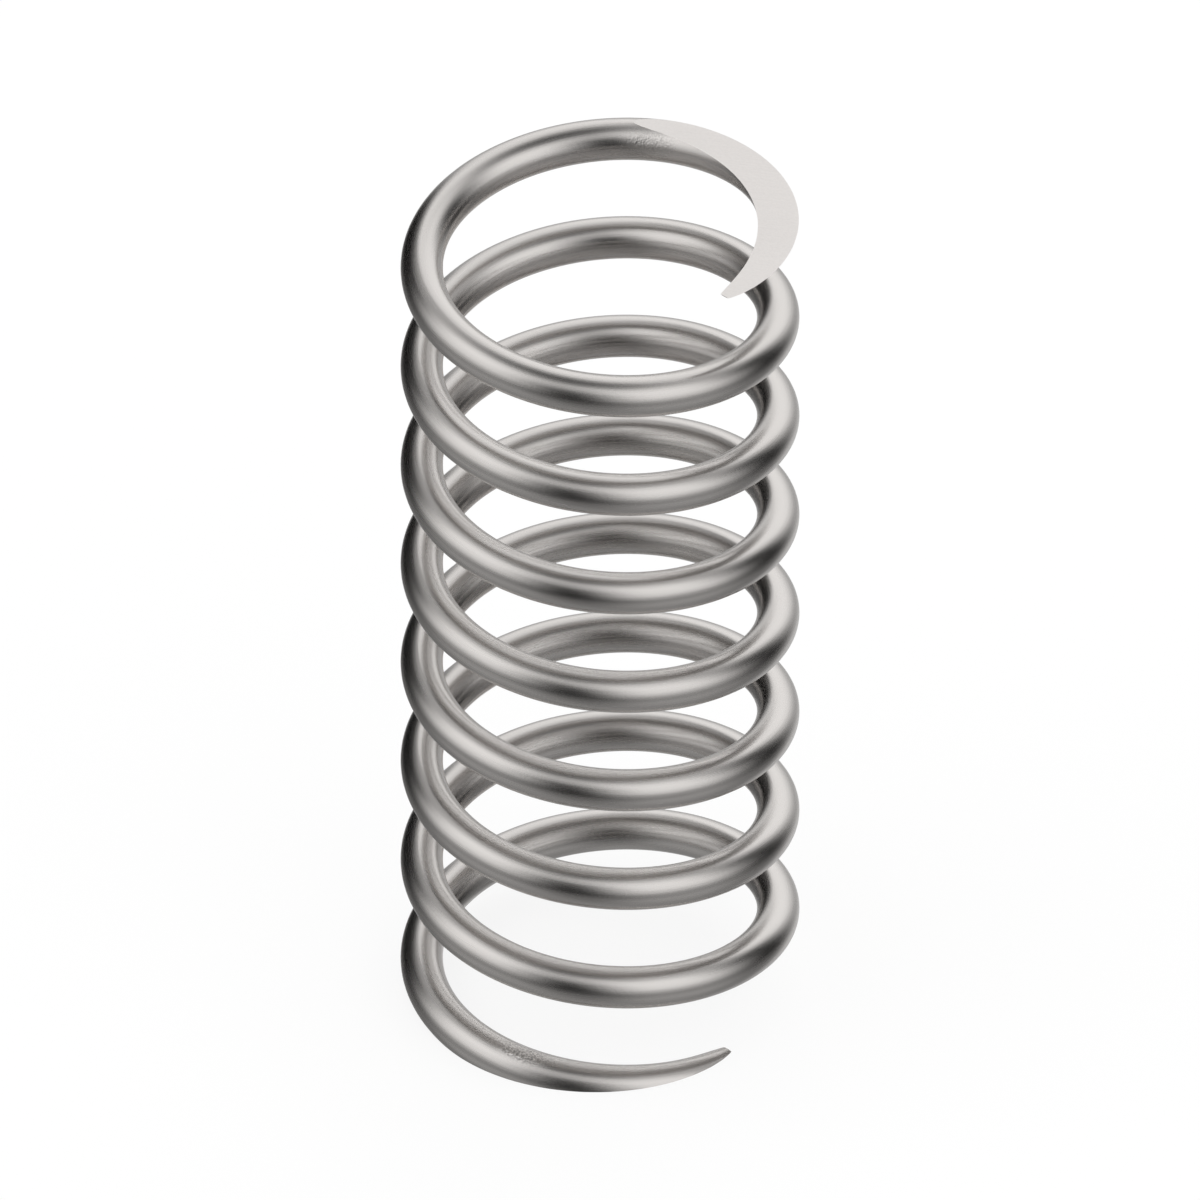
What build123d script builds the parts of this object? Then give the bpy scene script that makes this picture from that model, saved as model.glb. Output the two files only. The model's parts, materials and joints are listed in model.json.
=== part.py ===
from build123d import *
import math
import os

# Small compression spring, in millimetres. One length of round wire is wound to a
# left-hand helix at the same pitch from end to end, so its ends are open. Both ends
# are then ground flat and square to the axis, which leaves each one a crescent of
# bearing face that runs out in a thin tip.
#
# The axis is Z and the spring stands up from Z = 0, the plane of its lower ground
# end. Both tips lie on the +X side.

# Driving dimensions
wire_diameter = 1.295  # 0.051 inch spring wire
outside_diameter = 12.192  # 0.480 inch over the coils
pitch = 3.687  # rise of the wire in one turn
turns_of_wire = 8  # from one cut end of the wire to the other
tip_thickness = 0.03  # wire left under the grinding plane where it was cut off

# Worked out from them
mean_radius = (outside_diameter - wire_diameter) / 2
helix_angle = math.atan2(pitch, 2 * math.pi * mean_radius)
half_height = wire_diameter / 2 / math.cos(helix_angle)  # the sloping wire's, measured along Z
overrun = half_height - tip_thickness  # how far the wire's axis passes each end plane
free_length = turns_of_wire * pitch - 2 * overrun


def wire_axis():
    """The centre line of the wire, from its lower cut end on the +X side."""
    return Helix(
        pitch=pitch,
        height=turns_of_wire * pitch,
        radius=mean_radius,
        center=(0, 0, -overrun),
        lefthand=True,
    )


def wire_section():
    """The round section, in four quarters, so that the swept wire gets four plainer faces."""
    quarters = [
        CenterArc(center=(0, 0), radius=wire_diameter / 2, start_angle=start, arc_size=90)
        for start in (0, 90, 180, 270)
    ]
    return make_face(Wire(quarters))


def coiled_wire():
    """The wire as it leaves the coiling machine, full round to both cut ends."""
    axis = wire_axis()
    cut_end = Plane(origin=axis @ 0, x_dir=(1, 0, 0), z_dir=axis % 0)
    return sweep(cut_end * wire_section(), path=axis, is_frenet=True)


def ground_ends(coil):
    """The coil with all that stands past the two end planes ground away."""
    between_planes = Cylinder(
        radius=outside_diameter,
        height=free_length,
        align=(Align.CENTER, Align.CENTER, Align.MIN),
    )
    return coil & between_planes


def compression_spring():
    spring = ground_ends(coiled_wire())
    spring.label = "coil_spring"
    return spring


os.makedirs("parts", exist_ok=True)
export_step(compression_spring(), "parts/coil_spring.step")
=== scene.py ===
import json
import math

import bpy
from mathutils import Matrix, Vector


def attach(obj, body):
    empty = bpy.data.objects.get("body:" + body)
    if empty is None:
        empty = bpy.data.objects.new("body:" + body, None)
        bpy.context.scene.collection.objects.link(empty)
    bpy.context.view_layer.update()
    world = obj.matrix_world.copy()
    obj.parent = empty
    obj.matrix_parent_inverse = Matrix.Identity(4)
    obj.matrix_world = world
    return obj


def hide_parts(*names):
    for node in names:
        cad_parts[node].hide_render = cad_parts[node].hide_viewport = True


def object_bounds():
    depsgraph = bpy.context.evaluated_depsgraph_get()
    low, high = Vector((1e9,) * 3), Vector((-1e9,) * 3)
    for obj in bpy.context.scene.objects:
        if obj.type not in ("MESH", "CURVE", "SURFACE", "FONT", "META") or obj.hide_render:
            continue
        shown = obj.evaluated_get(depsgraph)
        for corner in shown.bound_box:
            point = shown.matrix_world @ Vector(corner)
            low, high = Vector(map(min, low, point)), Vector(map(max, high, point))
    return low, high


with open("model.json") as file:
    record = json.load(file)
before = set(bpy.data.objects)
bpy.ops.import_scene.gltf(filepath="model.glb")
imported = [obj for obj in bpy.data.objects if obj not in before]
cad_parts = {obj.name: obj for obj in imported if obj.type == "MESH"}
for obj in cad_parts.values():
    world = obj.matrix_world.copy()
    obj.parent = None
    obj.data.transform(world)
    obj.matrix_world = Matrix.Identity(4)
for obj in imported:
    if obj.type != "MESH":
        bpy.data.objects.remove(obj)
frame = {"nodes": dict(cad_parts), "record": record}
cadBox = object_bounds()
print("frame loaded:", ", ".join(sorted(frame["nodes"])))


# one way to add nodes, in shaders and in geometry trees alike

class Signal:
    # a node's output that can stand in a sum: each operator adds a Math node
    def __init__(self, maker, socket):
        self.maker = maker
        self.socket = socket

    def __add__(self, other):
        return self.maker.math("ADD", self, other)

    def __radd__(self, other):
        return self.maker.math("ADD", other, self)

    def __sub__(self, other):
        return self.maker.math("SUBTRACT", self, other)

    def __rsub__(self, other):
        return self.maker.math("SUBTRACT", other, self)

    def __mul__(self, other):
        return self.maker.math("MULTIPLY", self, other)

    def __rmul__(self, other):
        return self.maker.math("MULTIPLY", other, self)

    def __truediv__(self, other):
        return self.maker.math("DIVIDE", self, other)

    def __rtruediv__(self, other):
        return self.maker.math("DIVIDE", other, self)


class NodeMaker:
    def __init__(self, tree):
        self.tree = tree

    def node(self, kind, settings=None, inputs=None):
        made = self.tree.nodes.new(kind)
        for name, value in (settings or {}).items():
            if name == "stops":
                self.setStops(made.color_ramp, value)
            else:
                setattr(made, name, value)
        for name, value in (inputs or {}).items():
            socket = self.openSocket(made.inputs, name)
            if isinstance(value, Signal):
                self.tree.links.new(value.socket, socket)
            else:
                socket.default_value = value
        return made

    def out(self, kind, settings=None, inputs=None, output=0):
        made = self.node(kind, settings, inputs)
        return Signal(self, self.openSocket(made.outputs, output))

    def math(self, operation, *values):
        return self.out("ShaderNodeMath", {"operation": operation}, dict(enumerate(values)))

    def openSocket(self, sockets, name):
        if isinstance(name, int):
            return sockets[name]
        return next(s for s in sockets if s.name == name and s.enabled)

    def setStops(self, ramp, stops):
        while len(ramp.elements) < len(stops):
            ramp.elements.new(1.0)
        for element, (place, colour) in zip(ramp.elements, stops):
            element.position = place
            element.color = (*colour, 1.0) if isinstance(colour, tuple) else (colour, colour, colour, 1.0)


# the spring's sizes, from the frame

def springSizes():
    low, high = cadBox
    mounts = {mount["name"]: mount for mount in frame["record"]["mounts"]}
    outer = min(high[0], high[1], -low[0], -low[1])
    inner = mounts["guide_rod"]["dims"]["r_mm"] / 1000
    return {
        "outerRadius": outer,
        "wireRadius": (outer - inner) / 2,
        "meanRadius": (outer + inner) / 2,
        "freeLength": high[2] - low[2],
    }


size = springSizes()
coil = {
    "turns": 8,  # of wire, from tip to tip
    "tipThickness": 0.03e-3,  # wire left at the cut ends once they are ground
    "pointsPerTurn": 144,
    "pointsAround": 40,
    "grinderRadius": 2 * size["outerRadius"],
    "flatness": 0.9995,  # how upright a face's normal is where it counts as ground
}


def windingOf(turns, tipThickness):
    # the pitch and the wire's half height depend on each other a little, so they are worked out in turn
    pitch = size["freeLength"] / turns
    for _ in range(6):
        slope = math.atan2(pitch, 2 * math.pi * size["meanRadius"])
        halfHeight = size["wireRadius"] / math.cos(slope)
        overrun = halfHeight - tipThickness
        pitch = (size["freeLength"] + 2 * overrun) / turns
    return {"pitch": pitch, "slope": slope, "overrun": overrun}


winding = windingOf(coil["turns"], coil["tipThickness"])
print("pitch %.4f mm, overrun %.4f mm" % (winding["pitch"] * 1000, winding["overrun"] * 1000))


# finishes

steel = {
    "colour": (0.66, 0.635, 0.615),
    "toneChange": 0.05,  # how far the changes of tone go
    "slowPerMm": 0.5,  # the broad patches of tone
    "slowStretch": 4,
    "roughness": 0.27,
    "roughnessChange": 0.04,
    "linesPerMm": 11,  # drawn lines, across the wire
    "lineStretch": 25,
    "lineDepth": 2.5e-6,
    "grainPerMm": 12,
    "grainDepth": 1.5e-6,
    # each scuff: turns from the lower tip, degrees round the section, half length in turns,
    # half width in degrees, and strength
    "scuffs": (
        (0.194, 82, 0.033, 40, 2.6),
        (7.676, 149, 0.035, 36, 1.2),
    ),
    "scuffCore": 0.3,  # the share of a scuff's reach that is at full strength
    "scuffsPerMm": 16,
    "scuffDepth": 11e-6,
    "scuffTone": 0.8,
    "scuffRoughness": 0.04,
}
ground = {
    "colour": (0.79, 0.76, 0.74),
    "toneChange": 0.1,
    "slowPerMm": 0.5,
    "roughness": 0.42,
    "roughnessChange": 0.05,
    "linesPerMm": 16,
    "lineStretch": 30,
    "lineDepth": 1.5e-6,
    "grindingAngle": 35,
    "grainPerMm": 11,
    "grainDepth": 3e-6,
}


def newMaterial(name):
    material = bpy.data.materials.new(name)
    material.use_nodes = True
    material.node_tree.nodes.clear()
    return material, NodeMaker(material.node_tree)


def finishMaterial(maker, shader):
    maker.node("ShaderNodeOutputMaterial", None, {"Surface": shader})


def placeInMm(maker):
    place = maker.out("ShaderNodeTexCoord", None, None, "Object")
    axes = maker.node("ShaderNodeSeparateXYZ", None, {"Vector": place})
    return [Signal(maker, axes.outputs[axis]) * 1000 for axis in "XYZ"]


def noise(maker, x, y, z, perMm, detail=2.0, roughness=0.5):
    place = maker.out("ShaderNodeCombineXYZ", None, {"X": x, "Y": y, "Z": z})
    return maker.out("ShaderNodeTexNoise", {"noise_dimensions": "3D"}, {
        "Vector": place,
        "Scale": perMm,
        "Detail": detail,
        "Roughness": roughness,
    }, "Fac")


def smoothStep(maker, low, high, value):
    return maker.out("ShaderNodeMapRange", {"interpolation_type": "SMOOTHSTEP"}, {
        "Value": value,
        "From Min": low,
        "From Max": high,
    })


def shaded(maker, colour, tone):
    # the colour, made lighter or darker by the tone, which is 1 where nothing changes
    return maker.out("ShaderNodeVectorMath", {"operation": "SCALE"}, {"Vector": colour, "Scale": tone})


def bumped(maker, heights):
    # fine relief from several heights, each 0 to 1 with its own depth in metres
    normal = None
    for height, depth in heights:
        values = {"Strength": 1.0, "Distance": depth, "Height": height}
        if normal:
            values["Normal"] = normal
        normal = maker.out("ShaderNodeBump", None, values)
    return normal


def alongTheWire(maker):
    # turns from the lower tip, and the place in the round section, outwards and upwards, in mm
    x, y, z = placeInMm(maker)
    pitch = winding["pitch"] * 1000
    overrun = winding["overrun"] * 1000
    part = maker.math("ARCTAN2", y, x) * (-1 / (2 * math.pi))
    whole = maker.math("ROUND", (z + overrun) / pitch - part)
    turns = part + whole
    outwards = maker.math("SQRT", x * x + y * y) - size["meanRadius"] * 1000
    upwards = z + overrun - turns * pitch
    return turns, outwards, upwards


def scuffMask(maker, turns, outwards, upwards):
    around = maker.math("ARCTAN2", upwards, outwards) * (180 / math.pi)
    total = None
    for turn, angle, length, width, strength in steel["scuffs"]:
        far = maker.math("ABSOLUTE", turns - turn) / length
        wide = maker.math("ABSOLUTE", around - angle) / width
        reach = maker.math("SQRT", far * far + wide * wide)
        patch = (1 - smoothStep(maker, steel["scuffCore"], 1.0, reach)) * strength
        total = patch if total is None else total + patch
    return total


def steelWire():
    material, maker = newMaterial("drawnSteel")
    turns, outwards, upwards = alongTheWire(maker)
    along = turns * (2 * math.pi * size["meanRadius"] * 1000)
    drawn = noise(maker, along / steel["lineStretch"], outwards, upwards, steel["linesPerMm"], 3.0, 0.6)
    grain = noise(maker, along, outwards, upwards, steel["grainPerMm"], 2.0, 0.6)
    slow = noise(maker, along / steel["slowStretch"], outwards, upwards, steel["slowPerMm"])
    scuffed = scuffMask(maker, turns, outwards, upwards)
    speck = noise(maker, along, outwards, upwards, steel["scuffsPerMm"], 1.0, 0.5)
    tone = 1 + (slow + drawn - 1) * steel["toneChange"] + (speck - 0.5) * scuffed * steel["scuffTone"]
    roughness = (
        steel["roughness"]
        + (drawn - 0.5) * steel["roughnessChange"]
        + (slow - 0.5) * steel["roughnessChange"]
        + scuffed * steel["scuffRoughness"]
    )
    normal = bumped(maker, (
        (drawn, steel["lineDepth"]),
        (grain, steel["grainDepth"]),
        (speck * scuffed, steel["scuffDepth"]),
    ))
    shader = maker.out("ShaderNodeBsdfPrincipled", None, {
        "Base Color": shaded(maker, steel["colour"], tone),
        "Metallic": 1.0,
        "Roughness": roughness,
        "Normal": normal,
    })
    finishMaterial(maker, shader)
    return material


def groundSteel():
    material, maker = newMaterial("groundSteel")
    x, y, z = placeInMm(maker)
    angle = math.radians(ground["grindingAngle"])
    lengthwise = x * math.cos(angle) + y * math.sin(angle)
    crosswise = y * math.cos(angle) - x * math.sin(angle)
    lines = noise(maker, lengthwise / ground["lineStretch"], crosswise, z, ground["linesPerMm"], 3.0, 0.6)
    grain = noise(maker, x, y, z, ground["grainPerMm"], 2.0, 0.6)
    slow = noise(maker, x, y, z, ground["slowPerMm"])
    tone = 1 + (lines - 0.5) * ground["toneChange"] + (grain - 0.5) * ground["toneChange"]
    roughness = ground["roughness"] + (lines + slow - 1) * ground["roughnessChange"]
    normal = bumped(maker, (
        (lines, ground["lineDepth"]),
        (grain, ground["grainDepth"]),
    ))
    shader = maker.out("ShaderNodeBsdfPrincipled", None, {
        "Base Color": shaded(maker, ground["colour"], tone),
        "Metallic": 1.0,
        "Roughness": roughness,
        "Normal": normal,
    })
    finishMaterial(maker, shader)
    return material


# the spring: a coil of wire with both ends ground flat

def coilTree():
    tree = bpy.data.node_groups.new("coilAndGrind", "GeometryNodeTree")
    tree.interface.new_socket(name="Geometry", in_out="OUTPUT", socket_type="NodeSocketGeometry")
    kinds = {
        "Mean Radius": "NodeSocketFloat",
        "Wire Radius": "NodeSocketFloat",
        "Pitch": "NodeSocketFloat",
        "Turns": "NodeSocketFloat",
        "Overrun": "NodeSocketFloat",
        "Free Length": "NodeSocketFloat",
        "Grinder Radius": "NodeSocketFloat",
        "Flatness": "NodeSocketFloat",
        "Points Per Turn": "NodeSocketInt",
        "Points Around": "NodeSocketInt",
        "Wire Finish": "NodeSocketMaterial",
        "Ground Finish": "NodeSocketMaterial",
    }
    for name, kind in kinds.items():
        tree.interface.new_socket(name=name, in_out="INPUT", socket_type=kind)
    maker = NodeMaker(tree)
    given = maker.node("NodeGroupInput")
    inputs = {name: Signal(maker, given.outputs[name]) for name in kinds}

    spiral = maker.out("GeometryNodeCurveSpiral", None, {
        "Resolution": inputs["Points Per Turn"],
        "Rotations": inputs["Turns"],
        "Start Radius": inputs["Mean Radius"],
        "End Radius": inputs["Mean Radius"],
        "Height": inputs["Pitch"] * inputs["Turns"],
        "Reverse": False,  # left-hand
    })
    down = maker.out("ShaderNodeCombineXYZ", None, {"Z": 0 - inputs["Overrun"]})
    axis = maker.out("GeometryNodeTransform", None, {"Geometry": spiral, "Translation": down})
    axis = maker.out("GeometryNodeSetCurveNormal", {"mode": "Z_UP"}, {"Curve": axis})
    section = maker.out("GeometryNodeCurvePrimitiveCircle", {"mode": "RADIUS"}, {
        "Resolution": inputs["Points Around"],
        "Radius": inputs["Wire Radius"],
    })
    wire = maker.out("GeometryNodeCurveToMesh", None, {
        "Curve": axis,
        "Profile Curve": section,
        "Fill Caps": True,
    })
    keep = maker.out("GeometryNodeMeshCylinder", None, {
        "Vertices": 32,
        "Radius": inputs["Grinder Radius"],
        "Depth": inputs["Free Length"],
    })
    middle = maker.out("ShaderNodeCombineXYZ", None, {"Z": inputs["Free Length"] / 2})
    keep = maker.out("GeometryNodeTransform", None, {"Geometry": keep, "Translation": middle})
    grind = maker.node("GeometryNodeMeshBoolean", {"operation": "INTERSECT", "solver": "EXACT"})
    tree.links.new(wire.socket, grind.inputs["Mesh 2"])
    tree.links.new(keep.socket, grind.inputs["Mesh 2"])
    spring = Signal(maker, grind.outputs["Mesh"])

    normal = maker.out("GeometryNodeInputNormal")
    upright = maker.out("ShaderNodeSeparateXYZ", None, {"Vector": normal}, "Z")
    endFace = maker.math("GREATER_THAN", maker.math("ABSOLUTE", upright), inputs["Flatness"])
    spring = maker.out("GeometryNodeSetShadeSmooth", {"domain": "FACE"}, {
        "Geometry": spring,
        "Shade Smooth": maker.math("LESS_THAN", endFace, 0.5),
    })
    spring = maker.out("GeometryNodeRealizeInstances", None, {"Geometry": spring})
    spring = maker.out("GeometryNodeSetMaterial", None, {
        "Geometry": spring,
        "Material": inputs["Wire Finish"],
    })
    spring = maker.out("GeometryNodeSetMaterial", None, {
        "Geometry": spring,
        "Selection": endFace,
        "Material": inputs["Ground Finish"],
    })
    maker.node("NodeGroupOutput", None, {"Geometry": spring})
    return tree


def grownMesh(name, tree, values):
    # runs the tree once and keeps its result as a plain mesh
    piece = bpy.data.objects.new(name, bpy.data.meshes.new(name + "Seed"))
    bpy.context.scene.collection.objects.link(piece)
    grower = piece.modifiers.new("grow", "NODES")
    grower.node_group = tree
    for item in tree.interface.items_tree:
        if item.in_out == "INPUT":
            grower[item.identifier] = values[item.name]
    evaluated = piece.evaluated_get(bpy.context.evaluated_depsgraph_get())
    mesh = bpy.data.meshes.new_from_object(evaluated)
    piece.modifiers.remove(grower)
    piece.data = mesh
    mesh.name = name
    return piece


spring = grownMesh("ground_coil", coilTree(), {
    "Mean Radius": size["meanRadius"],
    "Wire Radius": size["wireRadius"],
    "Pitch": winding["pitch"],
    "Turns": float(coil["turns"]),
    "Overrun": winding["overrun"],
    "Free Length": size["freeLength"],
    "Grinder Radius": coil["grinderRadius"],
    "Flatness": coil["flatness"],
    "Points Per Turn": coil["pointsPerTurn"],
    "Points Around": coil["pointsAround"],
    "Wire Finish": steelWire(),
    "Ground Finish": groundSteel(),
})
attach(spring, "root")
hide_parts("coil_spring")
print("spring wound and ground:", len(spring.data.polygons), "faces", [m.name for m in spring.data.materials])


# the studio

studio = {
    "middle": Vector((0, 0, size["freeLength"] / 2)),
    "frameWidth": 36.67e-3,  # what the camera sees from side to side
    "azimuth": 45,  # the camera's, in degrees; 0 looks along +Y
    "elevation": 35.264,
    "cameraDistance": 0.4,
    "lampDistance": 0.25,
    "lampSize": (0.3, 0.24),
    "lampBrightness": 1.05,
    "lamps": {  # azimuth to the right of the camera, and elevation
        "left": (-72, 33),
        "right": (46, 31),
        "behind": (160, 25),
    },
    "skyForFloor": 0.75,
    "floorWhite": 0.9,
    "floorGlow": 0.85,  # the share of the floor's look that is white of its own
    "floorDrop": 1e-5,  # so that the floor doesn't lie in the plane of the lower end
    "floorRadius": 2.0,
}
# what the metal sees round it: a grey room, brighter in a ring overhead, with three large soft
# boxes that its floor shows again dully; angles are in degrees, a box's sides are azimuths to the
# right of the camera, and the softness of an edge is how far it takes to fade
room = {
    "radius": 1.0,
    "levels": (
        (-90, 0.35),
        (-60, 0.25),
        (-30, 0.15),
        (-8, 0.0),
        (30, 0.0),
        (45, 0.4),
        (60, 0.6),
        (75, 0.15),
        (90, 0.0),
    ),
    "lowest": 0,
    "softBelow": 50,
    "softAbove": 55,
    "floorSpan": (15, 50),  # under the horizon
    "floorSoftness": 50,
    "boxes": (
        {"sides": (-105, -35), "softSides": (40, 40), "highest": 55, "brightness": 1.05, "inFloor": 0.25},
        {"sides": (13, 83), "softSides": (45, 45), "highest": 52, "brightness": 1.1, "inFloor": 0.25},
        {"sides": (128, 198), "softSides": (30, 10), "highest": 48, "brightness": 1.2, "inFloor": 0.5},
    ),
}


def direction(azimuth, elevation):
    # from the middle towards a place round the stage, the azimuth as the camera's
    a = math.radians(azimuth)
    e = math.radians(elevation)
    return Vector((math.sin(a) * math.cos(e), -math.cos(a) * math.cos(e), math.sin(e)))


def aimed(thing, place, target):
    thing.location = place
    thing.rotation_euler = (target - place).to_track_quat("-Z", "Y").to_euler()
    bpy.context.scene.collection.objects.link(thing)
    return thing


def makeCamera():
    data = bpy.data.cameras.new("camera")
    data.type = "ORTHO"
    data.ortho_scale = studio["frameWidth"]
    data.clip_start = 0.01
    data.clip_end = 10
    place = studio["middle"] + direction(studio["azimuth"], studio["elevation"]) * studio["cameraDistance"]
    camera = aimed(bpy.data.objects.new("camera", data), place, studio["middle"])
    bpy.context.scene.camera = camera


def makeLamps():
    width, height = studio["lampSize"]
    for name, (azimuth, elevation) in studio["lamps"].items():
        data = bpy.data.lights.new(name, "AREA")
        data.shape = "RECTANGLE"
        data.size = width
        data.size_y = height
        data.energy = studio["lampBrightness"] * math.pi * width * height
        place = studio["middle"] + direction(studio["azimuth"] + azimuth, elevation) * studio["lampDistance"]
        lamp = aimed(bpy.data.objects.new(name, data), place, studio["middle"])
        lamp.visible_camera = False
        lamp.visible_glossy = False


def makeWorld():
    world = bpy.data.worlds.new("studio")
    world.use_nodes = True
    world.node_tree.nodes.clear()
    world.cycles.sampling_method = "NONE"
    bpy.context.scene.world = world
    maker = NodeMaker(world.node_tree)
    seen = seenRays(maker)
    background = maker.out("ShaderNodeBackground", None, {
        "Color": (1.0, 1.0, 1.0, 1.0),
        "Strength": seen + (1 - seen) * studio["skyForFloor"],
    })
    maker.node("ShaderNodeOutputWorld", None, {"Surface": background})


def seenRays(maker):
    path = maker.node("ShaderNodeLightPath")
    kinds = ("Is Camera Ray", "Is Glossy Ray", "Is Transmission Ray")
    rays = [Signal(maker, path.outputs[kind]) for kind in kinds]
    return maker.math("MINIMUM", rays[0] + rays[1] + rays[2], 1.0)


def makeFloor():
    material, maker = newMaterial("paleFloor")
    pale = maker.out("ShaderNodeBsdfDiffuse", None, {
        "Color": (studio["floorWhite"], studio["floorWhite"], studio["floorWhite"], 1.0),
    })
    white = maker.out("ShaderNodeEmission", None, {"Strength": 1.0})
    finishMaterial(maker, maker.out("ShaderNodeMixShader", None, {
        0: seenRays(maker) * studio["floorGlow"],
        1: pale,
        2: white,
    }))
    place = (0, 0, -studio["floorDrop"])
    bpy.ops.mesh.primitive_circle_add(
        vertices=96,
        radius=studio["floorRadius"],
        fill_type="NGON",
        location=place,
    )
    floor = bpy.context.object
    floor.name = "floor"
    floor.data.materials.append(material)
    floor.visible_glossy = False  # the metal sees the room instead


def softBox(maker, azimuth, elevation, box):
    first, last = box["sides"]
    aside = maker.math("WRAP", azimuth - (first + last) / 2, 180, -180)
    across = span(maker, aside, (first - last) / 2, (last - first) / 2, *box["softSides"])
    lifted = span(maker, elevation, room["lowest"], box["highest"], room["softBelow"], room["softAbove"])
    lowest, highest = room["floorSpan"]
    sunk = span(maker, 0 - elevation, lowest, highest, room["floorSoftness"], room["floorSoftness"])
    return across * (lifted + sunk * box["inFloor"]) * box["brightness"]


def span(maker, value, low, high, softLow, softHigh):
    rise = smoothStep(maker, low - softLow / 2, low + softLow / 2, value)
    fall = smoothStep(maker, high - softHigh / 2, high + softHigh / 2, value)
    return rise * (1 - fall)


def makeRoom():
    material, maker = newMaterial("greyRoom")
    x, y, z = placeInMm(maker)
    level = maker.math("SQRT", x * x + y * y)
    elevation = maker.math("ARCTAN2", z, level) * (180 / math.pi)
    azimuth = maker.math("ARCTAN2", x, 0 - y) * (180 / math.pi) - studio["azimuth"]
    stops = [((e + 90) / 180, grey) for e, grey in room["levels"]]
    grey = maker.out("ShaderNodeValToRGB", {"stops": stops}, {"Fac": (elevation + 90) / 180}, "Color")
    light = maker.out("ShaderNodeSeparateColor", None, {"Color": grey}, "Red")
    for box in room["boxes"]:
        light = light + softBox(maker, azimuth, elevation, box)
    finishMaterial(maker, maker.out("ShaderNodeEmission", None, {"Strength": light}))
    material.cycles.emission_sampling = "NONE"
    bpy.ops.mesh.primitive_uv_sphere_add(
        segments=64,
        ring_count=32,
        radius=room["radius"],
        location=studio["middle"],
    )
    shell = bpy.context.object
    shell.name = "greyRoom"
    shell.data.materials.append(material)
    shell.visible_camera = False
    shell.visible_diffuse = False
    shell.visible_transmission = False
    shell.visible_shadow = False


makeCamera()
makeLamps()
makeWorld()
makeFloor()
makeRoom()
bpy.context.scene.view_settings.view_transform = "Standard"
print("studio set")
